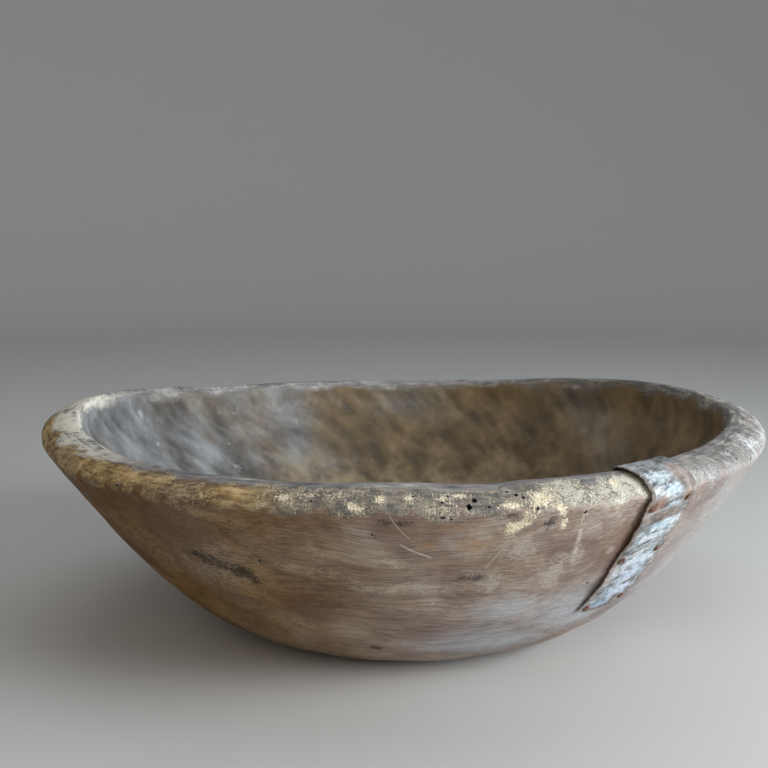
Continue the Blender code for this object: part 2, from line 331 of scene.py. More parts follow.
def tool_marks_tree():
    """Scoops cut into a turned body: long slanting ones down the hollow, level ones outside, and
    the dents and worn spots. How deep each point was scooped is kept for the wood's material."""
    tree = bpy.data.node_groups.new("tool_marks", "GeometryNodeTree")
    named_inputs(tree, [
        ("Body", "Geometry", None),
        ("Scoop depth", "Float", 0.0014),
        ("Scoop width", "Float", 0.012),
        ("Scoop length", "Float", 0.065),
        ("Scoop slant", "Float", 4.0),
        ("Shave depth", "Float", 0.00045),
        ("Shave width", "Float", 0.016),
        ("Shave length", "Float", 0.055),
        ("Lump depth", "Float", 0.0012),
        ("Lump size", "Float", 0.045),
        ("Dent depth", "Float", 0.0010),
        ("Crumb depth", "Float", 0.0006),
        ("Wood", "Material", None),
    ])
    tree.interface.new_socket("Body", in_out="OUTPUT", socket_type="NodeSocketGeometry")
    t = Tree(tree)
    given = t.add("NodeGroupInput").outputs

    def kept(name):
        return t.parts(t.add("GeometryNodeInputNamedAttribute", {"data_type": "FLOAT_VECTOR"},
                             Name=name).outputs[0])

    along, radius, _ = kept("wall_place")
    dent, worn, _ = kept("dents")
    position = t.add("GeometryNodeInputPosition").outputs[0]
    x, y, _ = t.parts(position)
    bearing = t.math("ARCTAN2", y, x)

    def long_cells(turned, width, length):
        wide = t.math("DIVIDE", radius, width)
        place = t.join(t.product(t.math("COSINE", turned), wide),
                       t.product(t.math("SINE", turned), wide), t.math("DIVIDE", along, length))
        return t.fit(t.cells(place), 0.0, 0.75, 1.0, 0.0)

    # The scoops end at the rim's inner edge, the shaves start under its shoulder, and the marks
    # fade out before the base
    turned = t.math("SUBTRACT", bearing, t.product(along, given["Scoop slant"]))
    stroke = t.join(t.product(t.math("COSINE", turned), radius),
                    t.product(t.math("SINE", turned), radius), t.product(along, 0.2))
    scoop = t.product(long_cells(turned, given["Scoop width"], given["Scoop length"]),
                      t.fit(along, -0.020, -0.006, 1.0, 0.0))
    shave = t.product(long_cells(bearing, given["Shave length"], given["Shave width"]),
                      t.fit(along, 0.022, 0.040))
    lumps = t.fit(t.noise(position, t.math("DIVIDE", 1.0, given["Lump size"]), 2.0, 0.45), 0.3, 0.7)
    crumbs = t.product(worn, t.noise(position, 420.0, 2.0, 0.6))
    depth = t.blend((scoop, given["Scoop depth"]), (shave, given["Shave depth"]),
                    (lumps, given["Lump depth"]), (dent, given["Dent depth"]),
                    (crumbs, given["Crumb depth"]))
    depth = t.product(depth, t.fit(along, 0.205, 0.225, 1.0, 0.0), -1.0)
    cut = t.add("ShaderNodeVectorMath", {"operation": "SCALE"},
                Vector=t.add("GeometryNodeInputNormal").outputs[0], Scale=depth)
    noted = t.add("GeometryNodeStoreNamedAttribute", {"data_type": "FLOAT", "domain": "POINT"},
                  Geometry=given["Body"], Name="scooped", Value=t.math("ADD", scoop, shave))
    noted = t.add("GeometryNodeStoreNamedAttribute", {"data_type": "FLOAT_VECTOR", "domain": "POINT"},
                  Geometry=noted.outputs[0], Name="stroke_place", Value=stroke)
    moved = t.add("GeometryNodeSetPosition", Geometry=noted.outputs[0], Offset=cut.outputs[0])
    whole = t.add("GeometryNodeRealizeInstances", Geometry=moved.outputs[0])
    dressed = t.add("GeometryNodeSetMaterial", Geometry=whole.outputs[0], Material=given["Wood"])
    t.put(t.add("NodeGroupOutput"), "Body", dressed.outputs[0])
    return tree


def keep_modifiers(made):
    """Keeps the result of an object's modifiers as its plain mesh."""
    evaluated = made.evaluated_get(bpy.context.evaluated_depsgraph_get())
    mesh = bpy.data.meshes.new_from_object(evaluated)
    made.modifiers.clear()
    made.data = mesh


def run_nodes(made, tree, **values):
    """Runs a geometry tree on an object and keeps the result as its plain mesh."""
    modifier = made.modifiers.new(tree.name, "NODES")
    modifier.node_group = tree
    for socket in tree.interface.items_tree:
        name = socket.name.replace(" ", "_").lower()
        if name in values:
            modifier[socket.identifier] = values[name]
    keep_modifiers(made)


def new_piece(name, mesh):
    made = bpy.data.objects.new(name, mesh)
    bpy.context.scene.collection.objects.link(made)
    return made


def smooth(made, degrees):
    """Shades a piece smooth, but keeps the edges that turn by more than some degrees."""
    made.data.shade_smooth()
    made.data.set_sharp_from_angle(angle=radians(degrees))


# --- The bowl's wood ----------------------------------------------------------------------------
# Dry, grey-brown wood with its grain along X. The shoulder of the rim is worn down to pale, pitted
# wood, the crest is streaky grey, and the outside carries old stains, wax and scratches. Some of its
# colour is painted light: a cool sheen in the silver, warm bounce light in the golden tone towards
# -X, cool light and shade across the hollow, shade in its scoops and glints, and a highlight on
# the rim towards +X.

PURPLE_BROWN = (0.145, 0.086, 0.072)
RED_BROWN = (0.185, 0.098, 0.060)
AMBER = (0.430, 0.265, 0.140)
TAN_SCUFF = (0.400, 0.345, 0.295)
PALE_SCUFF = (0.510, 0.450, 0.375)
STAIN = (0.030, 0.024, 0.022)
# Silver wood, partly weathering and partly a painted sheen of cool light
WARM_SILVER_SHEEN = (0.385, 0.362, 0.342)
COOL_SILVER_SHEEN = (0.470, 0.485, 0.515)
# Golden tone towards -X: partly old oil, partly painted warm bounce light
OIL_AND_WARM_BOUNCE = (0.680, 0.500, 0.170)
WARM_FLOOR = (0.430, 0.335, 0.200)
# Painted glint: small highlights in the hollow
PAINTED_GLINT = (0.520, 0.525, 0.510)
BLEACHED_AND_HIGHLIGHT = (0.850, 0.790, 0.650)
SOOTY = (0.140, 0.130, 0.115)
HANDLED = (0.125, 0.115, 0.102)
DEEP_DIRT = (0.105, 0.098, 0.084)
DRY_DIRT = (0.320, 0.275, 0.210)
GREY_DIRT_AND_HIGHLIGHT = (0.310, 0.290, 0.265)
DULL_FLECK = (0.400, 0.330, 0.220)
BRIGHT_FLECK = (0.880, 0.800, 0.600)
GOLD_FLECK = (0.720, 0.490, 0.190)
GREY_FLECK = (0.480, 0.470, 0.450)
WHITE_FLECK_AND_HIGHLIGHT = (0.820, 0.820, 0.800)
CHALK = (0.760, 0.710, 0.570)
OLD_WAX = (0.640, 0.500, 0.300)
CLEAN_WAX = (1.000, 0.920, 0.710)
SCORED_WOOD = (0.620, 0.550, 0.460)
CRACKED_WOOD = (0.045, 0.030, 0.022)

# Each line's two ends, as a bearing in degrees and the millimetres from the crest, then half its
# width in metres and how far it bows
SCORED_LINES = (
    ((-92.6, 49), (-87.5, 62), 0.0012, 0.03),
    ((-80.6, 72), (-77.4, 47), 0.0005, -0.04),
    ((-93.8, 27), (-91.0, 46), 0.0006, 0.05),
    ((-65.9, 11), (-68.4, 31), 0.0006, 0.04),
    ((-68.4, 31), (-68.2, 40), 0.0007, 0.0),
    ((-68.0, 42), (-67.0, 66), 0.0021, 0.0),
)
CRACKS = (
    ((-114.6, 58), (-111.8, 72), 0.0008, 0.06),
    ((-119.0, 90), (-98.0, 82), 0.0004, 0.02),
    ((-100.0, 118), (-92.0, 119), 0.0004, 0.0),
)


def colour_mix(t, first, second, share, kind="MIX"):
    node = t.add("ShaderNodeMix", {"data_type": "RGBA", "blend_type": kind})
    t.put(node, "0", share)
    for number, value in (("6", first), ("7", second)):
        t.put(node, number, value if isinstance(value, bpy.types.NodeSocket) else (*value, 1.0))
    return node.outputs[2]


def colour_ramp(t, value, *stops):
    node = t.add("ShaderNodeValToRGB", Fac=value)
    ramp = node.color_ramp
    while len(ramp.elements) < len(stops):
        ramp.elements.new(0.5)
    for element, (position, colour) in zip(ramp.elements, stops):
        element.position = position
        element.color = (*colour, 1.0)
    return node.outputs[0]


def new_material(name):
    made = bpy.data.materials.new(name)
    made.use_nodes = True
    shader = made.node_tree.nodes["Principled BSDF"]
    return made, Tree(made.node_tree), shader


def kept_values(t, name):
    return t.parts(t.add("ShaderNodeAttribute", {"attribute_name": name}).outputs["Vector"])


def scratch(t, across, along, start, end, half_width, bow):
    """A fine line between two places on the wall, bowed sideways by a share of its length."""
    ends = [(radians(degrees) * WALL_TOP[0], down / 1000) for degrees, down in (start, end)]
    (x0, y0), (x1, y1) = ends
    length = hypot(x1 - x0, y1 - y0)
    c, s = (x1 - x0) / length, (y1 - y0) / length
    offset_x, offset_y = t.math("SUBTRACT", across, x0), t.math("SUBTRACT", along, y0)
    run = t.blend((offset_x, c / length), (offset_y, s / length))
    aside = t.blend((offset_y, c), (offset_x, -s))
    middle = t.math("SUBTRACT", run, 0.5)
    aside = t.math("ADD", aside, t.product(middle, middle, 4 * bow * length))
    window = t.fit(t.math("ABSOLUTE", middle), 0.38, 0.5, 1.0, 0.0)
    return t.product(window, t.fit(t.math("ABSOLUTE", aside), 0.0, half_width, 1.0, 0.0))


def wood_ground(t):
    """What all the wood's colours are worked out from: each point's place and stains, and the
    grain, from broad figure to fine lines and fibres, all drawn out along X."""
    w = SimpleNamespace()
    w.point = t.add("ShaderNodeTexCoord").outputs["Object"]
    w.x, w.y, _ = t.parts(w.point)
    w.bearing = t.math("ARCTAN2", w.y, w.x)
    w.along, _, _ = kept_values(t, "wall_place")
    w.wax, w.dark, w.warm = kept_values(t, "stains")
    w.pale, w.silver, w.golden = kept_values(t, "bleaching_and_sheen")
    _, _, w.amber = kept_values(t, "dents")

    sway = t.math("SUBTRACT", t.noise(w.point, 10.0, 2.0), 0.5)
    swayed = t.add("ShaderNodeVectorMath", {"operation": "ADD"})
    t.put(swayed, "0", w.point)
    t.put(swayed, "1", t.join(0.0, 0.0, t.product(sway, 0.030)))
    grained = swayed.outputs[0]
    w.figure = t.noise(grained, 1.0, 4.0, 0.6, stretch=(6, 50, 110))
    w.lines = t.noise(grained, 1.0, 3.0, 0.65, stretch=(26, 420, 800))
    w.fibres = t.noise(grained, 1.0, 2.0, 0.7, stretch=(90, 1500, 2100))
    w.blotch = t.noise(w.point, 9.0, 3.0, 0.55)
    w.smudge = t.noise(w.point, 30.0, 4.0, 0.6)
    w.mottle = t.noise(w.point, 130.0, 4.0, 0.65)
    w.dust = t.noise(w.point, 900.0, 2.0, 0.7)
    w.specks = t.fit(t.noise(w.point, 1500.0, 1.0), 0.40, 0.62)
    w.grit = t.fit(t.blend((w.mottle, 0.5), (w.dust, 0.5)), 0.43, 0.57)
    w.ragged = t.fit(t.noise(w.point, 75.0, 4.0, 0.65), 0.36, 0.64)

    # How silvered the wood is, partly weathering and partly a painted sheen of cool light, and how
    # golden towards -X, partly old oil and partly painted warm bounce light
    w.silvered = t.fit(t.blend((w.silver, 0.9), (w.figure, 0.5), (w.smudge, 0.4), (w.lines, 0.4)),
                       0.80, 1.75)
    w.oiled = t.fit(t.math("ADD", w.x, t.fit(w.blotch, 0.3, 0.7, -0.04, 0.04)), -0.010, -0.150)
    return w


def rim_bands(t, w):
    """Where the crest and the shoulder of the rim lie. Their edges wander, and the crest reaches
    further out towards -X. Long streaks follow the rim."""
    rim_place = t.join(t.product(w.bearing, 9.0), t.product(w.along, 300.0), 0.0)
    w.rim_lines = t.noise(rim_place, 1.0, 4.0, 0.65)
    w.streaks = t.blend((w.rim_lines, 0.35), (w.lines, 0.22), (w.smudge, 0.25), (w.mottle, 0.18))
    broad_end = t.fit(w.x, -0.165, -0.225, 0.0, 0.007)
    w.drifted = t.math("ADD", w.along, t.fit(w.smudge, 0.3, 0.7, -0.004, 0.004))
    w.past_inner_edge = t.fit(w.drifted, -0.011, -0.004)
    w.crest = t.product(w.past_inner_edge,
                        t.fit(t.math("SUBTRACT", w.drifted, broad_end), 0.008, 0.013, 1.0, 0.0))
    wander = t.fit(t.noise(w.point, 70.0, 3.0, 0.6), 0.3, 0.7, -0.006, 0.006)
    edge = t.blend((w.along, 1.0), (wander, 1.0), (broad_end, -1.0))
    w.shoulder = t.product(t.fit(edge, 0.007, 0.012), t.fit(edge, 0.022, 0.031, 1.0, 0.0))
    # Towards +X the rim pales: partly worn wood, partly a painted highlight where the light falls
    w.to_white = t.fit(w.x, 0.115, 0.165)
    ticks = t.noise(t.join(t.product(w.bearing, 260.0), t.product(w.along, 110.0), 0.0), 1.0, 3.0, 0.6)
    clumps = t.noise(w.point, 48.0, 3.0, 0.6)
    w.flecks = t.fit(t.blend((w.dust, 0.65), (w.mottle, 0.35), (ticks, 0.45), (clumps, 0.55),
                             (w.to_white, 0.05)), 1.02, 1.16)


def covering(t, w, patch, amount):
    """How thickly a patch lies: ragged at its edge and rubbed through in specks."""
    return t.fit(t.blend((patch, amount), (w.ragged, 0.45), (w.grit, 0.85)), 1.30, 2.05)


def outside_colour(t, w):
    """The outside: brown, drifting to purple-brown, grey and silver, with fine level lines. The
    silver is partly weathering and partly a painted sheen of cool light, and the golden tone towards
    -X is partly old oil and partly painted warm bounce light.
    """
    grain = t.blend((w.figure, 0.20), (w.lines, 0.25), (w.smudge, 0.32), (w.blotch, 0.11),
                    (w.fibres, 0.12))
    colour = colour_ramp(t, grain, (0.38, (0.125, 0.081, 0.058)), (0.46, (0.260, 0.186, 0.139)),
                         (0.54, (0.350, 0.260, 0.198)), (0.62, (0.500, 0.405, 0.325)))
    colour = colour_mix(t, colour, PURPLE_BROWN, t.fit(w.blotch, 0.47, 0.64, 0.0, 0.60))
    hatched = t.product(t.fit(w.smudge, 0.50, 0.62),
                        t.fit(t.blend((w.lines, 0.6), (w.dust, 0.4)), 0.42, 0.56))
    colour = colour_mix(t, colour, TAN_SCUFF, t.product(hatched, 0.65))
    reddened = t.fit(t.blend((w.warm, 0.7), (w.ragged, 0.3)), 0.35, 0.95)
    colour = colour_mix(t, colour, RED_BROWN, t.product(reddened, 0.55))
    colour = colour_mix(t, colour, AMBER, t.product(covering(t, w, w.amber, 1.5), 0.55))
    # Silver, cooler further down: partly weathering, partly a painted sheen of cool light
    silver_and_sheen_colours = colour_mix(t, WARM_SILVER_SHEEN, COOL_SILVER_SHEEN, t.fit(w.along, 0.085, 0.130))
    colour = colour_mix(t, colour, silver_and_sheen_colours, t.product(w.silvered, 0.85))
    colour = colour_mix(t, colour, PALE_SCUFF, t.product(covering(t, w, w.pale, 1.4), 0.58))
    colour = colour_mix(t, colour, STAIN, t.product(covering(t, w, w.dark, 1.6), 0.85))
    ruled = t.fit(t.blend((w.lines, 0.5), (w.fibres, 0.5)), 0.42, 0.58, 0.86, 1.12)
    colour = colour_mix(t, colour, t.join(ruled, ruled, ruled), 1.0, "MULTIPLY")
    # Golden towards -X: partly old oil, partly painted warm bounce light
    return colour_mix(t, colour, OIL_AND_WARM_BOUNCE, w.oiled, "MULTIPLY")


def hollow_colour(t, w):
    """The hollow: dull grey towards -X, partly grey wood and partly painted cool light, brown towards
    +X, partly brown wood and partly painted shade, with painted shade in the scoops, warm on its
    floor, and painted glints towards -X.
    """
    scooped = t.add("ShaderNodeAttribute", {"attribute_name": "scooped"}).outputs["Fac"]
    stroke_place = t.add("ShaderNodeAttribute", {"attribute_name": "stroke_place"}).outputs["Vector"]
    strokes = t.noise(stroke_place, 70.0, 2.0, 0.50)
    # The scoops are darkened with painted shade, among the strokes and blotches
    depths = t.blend((scooped, 0.08), (strokes, 0.22), (w.smudge, 0.48), (w.blotch, 0.22),
                     (w.mottle, 0.13))
    greys_and_cool_light = colour_ramp(t, depths, (0.43, (0.318, 0.328, 0.333)), (0.55, (0.196, 0.194, 0.190)),
                        (0.67, (0.105, 0.100, 0.098)))
    browns = colour_ramp(t, depths, (0.43, (0.250, 0.170, 0.080)), (0.55, (0.158, 0.104, 0.046)),
                         (0.67, (0.080, 0.056, 0.028)))
    # Grey towards -X is partly grey wood and partly painted cool light; dark brown towards +X is partly
    # brown wood and partly painted shade
    to_brown_and_shade = t.fit(t.math("ADD", w.x, t.fit(w.blotch, 0.3, 0.7, -0.15, 0.15)), -0.20, 0.13)
    colour = colour_mix(t, greys_and_cool_light, browns, to_brown_and_shade)
    to_floor = t.fit(t.math("ADD", w.along, t.fit(w.smudge, 0.3, 0.7, -0.03, 0.03)), -0.07, -0.16)
    colour = colour_mix(t, colour, WARM_FLOOR, t.product(to_floor, 0.85))
    # Painted glints: small highlights towards -X
    painted_glints = t.fit(t.noise(w.point, 90.0, 3.0, 0.5), 0.650, 0.780, 0.0, 0.45)
    return colour_mix(t, colour, PAINTED_GLINT, t.product(painted_glints, t.fit(w.x, 0.02, -0.04)))


def crest_colour(t, w):
    """The crest: long grey streaks, bluish and dark, bleached at the -X end, and at the +X end partly
    bleached and partly a painted highlight.
    """
    colour = colour_ramp(t, w.streaks, (0.41, (0.090, 0.088, 0.090)), (0.48, (0.190, 0.178, 0.172)),
                         (0.54, (0.300, 0.272, 0.248)), (0.62, (0.520, 0.485, 0.430)))
    left_end = t.product(t.fit(w.x, -0.140, -0.210, 0.0, 0.9), t.fit(w.y, 0.07, -0.01))
    # The +X end is partly bleached wood and partly a painted highlight where the light falls
    bleached_and_highlit = t.math("MAXIMUM", left_end, t.fit(w.x, 0.205, 0.235, 0.0, 0.5))
    colour = colour_mix(t, colour, BLEACHED_AND_HIGHLIGHT, t.product(bleached_and_highlit, t.fit(w.streaks, 0.38, 0.53)))
    darkened = t.product(t.fit(w.x, 0.090, 0.150), t.fit(w.streaks, 0.54, 0.46, 0.1, 0.8))
    return colour_mix(t, colour, SOOTY, darkened)


def shoulder_colour(t, w):
    """The shoulder: dirty wood worn through in pale flecks, ticks and clumps, golden towards -X
    and white towards +X, partly worn wood and partly a painted highlight."""
    dirt = colour_mix(t, DEEP_DIRT, DRY_DIRT,
                      t.fit(t.blend((w.mottle, 0.5), (w.dust, 0.25), (w.lines, 0.25)), 0.42, 0.58))
    gold = colour_ramp(t, t.blend((w.rim_lines, 0.50), (w.lines, 0.20), (w.mottle, 0.30)),
                       (0.42, (0.130, 0.080, 0.038)), (0.50, (0.400, 0.250, 0.090)),
                       (0.58, (0.740, 0.530, 0.250)))
    dirt = colour_mix(t, dirt, gold, t.product(w.golden, 0.85))
    # Greyer towards +X, partly a painted highlight
    dirt = colour_mix(t, dirt, GREY_DIRT_AND_HIGHLIGHT, t.product(w.to_white, 0.60))
    flecked = colour_mix(t, DULL_FLECK, BRIGHT_FLECK, w.specks)
    flecked = colour_mix(t, flecked, GOLD_FLECK, t.product(w.golden, 0.8))
    # Whiter flecks towards +X, partly a painted highlight
    whitened_and_highlit = colour_mix(t, GREY_FLECK, WHITE_FLECK_AND_HIGHLIGHT, t.fit(w.x, 0.165, 0.215))
    flecked = colour_mix(t, flecked, whitened_and_highlit, w.to_white)
    return colour_mix(t, dirt, flecked, t.product(w.flecks, 0.95))


def chalked(t, w, colour):
    """Adds the chalky wood left of the strap and the darker, handled rim right of it."""
    left_of_strap = t.fit(t.math("ABSOLUTE", t.math("SUBTRACT", w.bearing, -1.13)), 0.07, 0.20, 1.0, 0.0)
    rubbed = t.fit(t.blend((w.smudge, 0.35), (w.mottle, 0.30), (w.dust, 0.35)), 0.43, 0.56)
    colour = colour_mix(t, colour, CHALK, t.product(left_of_strap, w.shoulder, rubbed, 0.88))
    right_of_strap = t.product(t.fit(w.x, 0.150, 0.170), t.fit(w.drifted, 0.021, 0.013),
                               w.past_inner_edge)
    return colour_mix(t, colour, HANDLED,
                      t.product(right_of_strap, t.fit(w.streaks, 0.54, 0.44, 0.0, 0.90)))


def scratched(t, w, colour):
    """Adds the scored lines, the drips' run and the cracks, and gives each scored line's depth."""
    across = t.product(w.bearing, WALL_TOP[0])
    scored = [scratch(t, across, w.along, *line) for line in SCORED_LINES]
    for line in scored:
        colour = colour_mix(t, colour, SCORED_WOOD, t.product(line, t.fit(w.grit, 0.0, 1.0, 0.45, 0.85)))
    for line in CRACKS:
        crack = scratch(t, across, w.along, *line)
        colour = colour_mix(t, colour, CRACKED_WOOD, t.product(crack, 0.6))
    return colour, scored


def weathered_wood():
    made, t, shader = new_material("weathered_wood")
    w = wood_ground(t)
    rim_bands(t, w)
    inside = t.fit(w.along, -0.006, 0.002, 1.0, 0.0)
    colour = colour_mix(t, outside_colour(t, w), hollow_colour(t, w), inside)
    colour = colour_mix(t, colour, crest_colour(t, w), w.crest)
    colour = colour_mix(t, colour, shoulder_colour(t, w), t.product(w.shoulder, 0.92))
    colour = chalked(t, w, colour)
    waxed = covering(t, w, w.wax, 1.5)
    wax = colour_mix(t, OLD_WAX, CLEAN_WAX,
                     t.fit(t.blend((w.mottle, 0.4), (w.specks, 0.3), (w.dust, 0.3)), 0.35, 0.65))
    colour = colour_mix(t, colour, wax, waxed)
    colour, scored = scratched(t, w, colour)
    t.put(shader, "Base Color", colour)
    polish = t.math("ADD", t.fit(w.mottle, 0.35, 0.65, 0.44, 0.64), t.product(w.shoulder, 0.12))
    t.put(shader, "Roughness", t.math("SUBTRACT", polish, t.product(w.silvered, 0.10)))
    t.put(shader, "Specular IOR Level", t.fit(w.oiled, 0.0, 1.0, 0.50, 0.15))
    pitted = t.product(t.math("SUBTRACT", 1.0, w.flecks), w.shoulder)
    height = t.blend((w.lines, 0.25), (w.fibres, 0.22), (w.mottle, 0.40), (pitted, -0.9), (waxed, 0.5))
    height = t.blend((height, 1.0), (scored[0], -1.0), (scored[1], -0.5), (scored[2], -0.6))
    bump = t.add("ShaderNodeBump", Strength=0.7, Distance=0.0006, Height=height)
    t.put(shader, "Normal", bump.outputs[0])
    return made


wood = weathered_wood()
bowl = new_piece("bowl", bowl_mesh())
run_nodes(bowl, tool_marks_tree(), wood=wood)


# --- Worm holes and nicks -----------------------------------------------------------------------
# Beetles bored into the shoulder of the rim, and knocks chipped small nicks below it. Each is a
# short, ragged, tapered plug that is cut out of the wood, and its walls are painted near black,
# a painted shade inside the hole.

HOLE_DEPTH = 0.0045
PLUG_RISE = 0.0015
PLUG_SIDES = 14
PLUG_TAPER = 0.55

# Each hole's bearing in degrees, then its distance from the crest and its half sizes across and
# down, in millimetres
WORM_HOLES = (
    (-83.7, 22.7, 1.6, 2.2), (-82.9, 18.6, 1.7, 1.7), (-87.0, 29.4, 1.6, 0.8),
    (-85.9, 30.6, 0.9, 0.6), (-87.0, 19.5, 1.1, 0.8), (-81.2, 23.2, 1.1, 0.7),
    (-78.3, 12.4, 1.2, 0.9), (-77.3, 15.6, 1.2, 1.5), (-76.5, 18.0, 1.0, 1.1),
    (-75.0, 25.4, 0.8, 0.8), (-90.6, 14.8, 0.7, 0.6), (-86.2, 14.6, 0.8, 0.6),
    (-68.3, 30.6, 0.8, 1.3), (-95.8, 42.6, 0.9, 0.7), (-60.8, 96.0, 0.8, 0.7),
    (-103.5, 19.0, 1.0, 0.7), (-112.8, 69.0, 1.0, 0.9), (-132.0, 24.0, 1.0, 0.8),
    (-36.0, 21.0, 1.0, 0.8), (-31.5, 26.0, 0.8, 0.8), (60.0, 20.0, 1.2, 0.9),
    (64.0, 27.0, 0.8, 0.8), (121.0, 19.0, 1.0, 1.0), (-156.0, 30.0, 0.9, 0.9),
)


def worm_dust():
    made, t, shader = new_material("worm_dust")
    point = t.add("ShaderNodeTexCoord").outputs["Object"]
    speck = t.noise(point, 1500.0, 2.0, 0.6)
    # Near-black walls: painted shade inside the holes
    t.put(shader, "Base Color", colour_ramp(t, speck, (0.35, (0.010, 0.007, 0.005)),
                                            (0.65, (0.045, 0.032, 0.022))))
    t.put(shader, "Roughness", t.fit(speck, 0.3, 0.7, 0.85, 1.0))
    return made


def hole_plugs():
    """All the plugs in one mesh. Each reaches out of the wood a little and tapers as it goes in."""
    form = bmesh.new()
    for number, (degrees, down, half_across, half_down) in enumerate(WORM_HOLES):
        bearing, along = radians(degrees), down / 1000
        deep = Vector(over_wall(along, bearing, -HOLE_DEPTH))
        high = Vector(over_wall(along, bearing, PLUG_RISE))
        out = high - deep
        beside = Vector((-sin(bearing), cos(bearing), 0.0))
        below = out.cross(beside).normalized()
        turn = Matrix((beside, below, out.normalized())).transposed()
        plug = bmesh.ops.create_cone(form, cap_ends=True, segments=PLUG_SIDES, radius1=PLUG_TAPER,
                                     radius2=1.0, depth=out.length)["verts"]
        for k, vertex in enumerate(plug):
            ragged = 1.0 + 0.16 * sin(2.3 * k + 1.7 * number) + 0.08 * sin(5.1 * k + number)
            vertex.co.x *= ragged * half_across / 1000
            vertex.co.y *= ragged * half_down / 1000
            vertex.co = turn @ vertex.co + (high + deep) / 2
    mesh = bpy.data.meshes.new("hole_plugs")
    form.to_mesh(mesh)
    form.free()
    mesh.materials.append(worm_dust())
    return mesh


plugs = new_piece("hole_plugs", hole_plugs())
bored = bowl.modifiers.new("bored", "BOOLEAN")
bored.operation = "DIFFERENCE"
bored.object = plugs
bored.solver = "MANIFOLD"
bored.material_mode = "TRANSFER"
keep_modifiers(bowl)
bpy.data.objects.remove(plugs)
smooth(bowl, 50.0)
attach(bowl, "root")
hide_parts("carved_bowl")


# --- The mending strap --------------------------------------------------------------------------
# One strip of zinc-coated sheet steel, bent over the rim to mend it and nailed on both sides of
# the wall. Only the nails hold it flat, so its left edge has lifted, and its coat has gone to
# white crust and rust.

STRAP_BEARING = radians(-54.2)
STRAP_WIDTH = 0.037
STRAP_LEAN = 0.042
STRAP_THICKNESS = 0.0007
STRAP_OUTER_LEG = 0.128
STRAP_INNER_LEG = 0.064
STRAP_CORNER = 0.003
STRAP_COLUMNS, STRAP_ROWS = 53, 270

# Where the strap's left edge curls up and where the sheet has buckled: the distance from the
# crest, the reach and the height of each swell
EDGE_CURLS = ((0.004, 0.006, 2e-4), (0.014, 0.006, 1.0e-3), (0.044, 0.010, 1.0e-3),
              (0.061, 0.009, 6e-4), (0.100, 0.014, 7e-4), (0.127, 0.006, 5e-4))
BUCKLES = ((0.056, 0.0035, 4.5e-4), (0.066, 0.0028, -4.0e-4), (0.091, 0.004, 4e-4),
           (0.104, 0.003, -3.5e-4), (-0.041, 0.004, 3e-4))
BUCKLE_SLANT = 0.22
CURL_START = 0.008
CURL_WIDTH = 0.0105
NAILED_REACH = 0.0055
NAILED_LIFT = 0.00035
FREE_LIFT = 0.00045
SIDE_RAGGEDNESS = 0.00022
END_RAGGEDNESS = 0.0003
RAGGED_END = 0.012

# The sheet's own patches, in millimetres across from its middle and along from the crest
CRUST = ((-6, 17, 13, 6, 0), (-3, 25, 12, 5, 0), (1, 34, 5, 2.2, 0), (4, 51, 17, 7, -8),
         (-2, 60, 17, 8, -8), (1, 79, 18, 12, -8), (1, 94, 17, 12, 0), (2, 110, 17, 11, 0),
         (-4, 120, 13, 6, 0), (0, -20, 8, 6, 0), (4, -44, 8, 7, 0))
RUST = ((-10.5, 33.0, 8, 6.0, 0), (13.5, 32, 4.5, 5, 0), (-14.5, 77, 2.6, 3, 0),
        (13.5, 74, 2.6, 3, 0), (-13, 123, 3, 3, 0), (13, 120, 3, 3, 0), (-7.5, -28.5, 4.5, 5, 0),
        (7.5, -28.5, 4, 4, 0), (-7.5, -53.5, 4, 5, 0), (7.5, -53.5, 4.5, 4, 0), (0, -62, 20, 3, 0))
BROWN_STAIN = ((12, 20, 7, 11, 0), (-2, 43, 18, 4.5, -8), (6, 116, 14, 7, 0),
               (-17.5, 60, 2.2, 60, 0), (18.5, 70, 2.0, 60, 0), (0, 127, 20, 3, 0),
               (0, -62, 20, 4, 0))

PALE_BLUE_CRUST = (0.360, 0.500, 0.570)
WHITE_CRUST = (0.780, 0.800, 0.800)
GREY_CRUST = (0.270, 0.320, 0.350)
BLUE_TINT = (0.840, 0.880, 1.000)

# The nails' rows, as distances from the crest, and how far each nail is from the strap's middle
OUTER_NAIL_ROWS = {"top": 0.0340, "middle": 0.0755, "bottom": 0.1215}
INNER_NAIL_ROWS = {"upper": 0.0285, "lower": 0.0535}
OUTER_NAIL_SPREAD = 0.0138
OUTER_NAIL_SLANT = 0.0016
INNER_NAIL_SPREAD = 0.0075
SIDES = (("left", -1), ("right", 1))


def placed_nails():
    """Each nail's place: its distance along from the crest and across from the strap's middle."""
    places = {}
    for row, along in OUTER_NAIL_ROWS.items():
        for side, sign in SIDES:
            slanted = along - sign * OUTER_NAIL_SLANT
            places[f"outer_nail_{row}_{side}"] = (slanted, sign * OUTER_NAIL_SPREAD)
    for row, along in INNER_NAIL_ROWS.items():
        for side, sign in SIDES:
            places[f"inner_nail_{row}_{side}"] = (-along, sign * INNER_NAIL_SPREAD)
    return places


nail_places = placed_nails()


def swells(at, kinds):
    """The height at some distances of a row of smooth swells."""
    return sum(size * np.exp(-((at - place) / reach) ** 2) for place, reach, size in kinds)


def strap_lift(along, across):
    """How far the back of the sheet stands off the wood: little at a nail, more where it is free."""
    free = np.ones_like(along)
    for nail_along, nail_across in nail_places.values():
        away = np.hypot(along - nail_along, (across - nail_across) * 0.8)
        free = free * (1.0 - np.exp(-(away / NAILED_REACH) ** 2))
    left_edge = np.clip((-across - CURL_START) / CURL_WIDTH, 0.0, 1.0) ** 2
    tilted = along + BUCKLE_SLANT * across
    raised = left_edge * swells(along, EDGE_CURLS) + swells(tilted, BUCKLES)
    return NAILED_LIFT + free * (FREE_LIFT + raised)


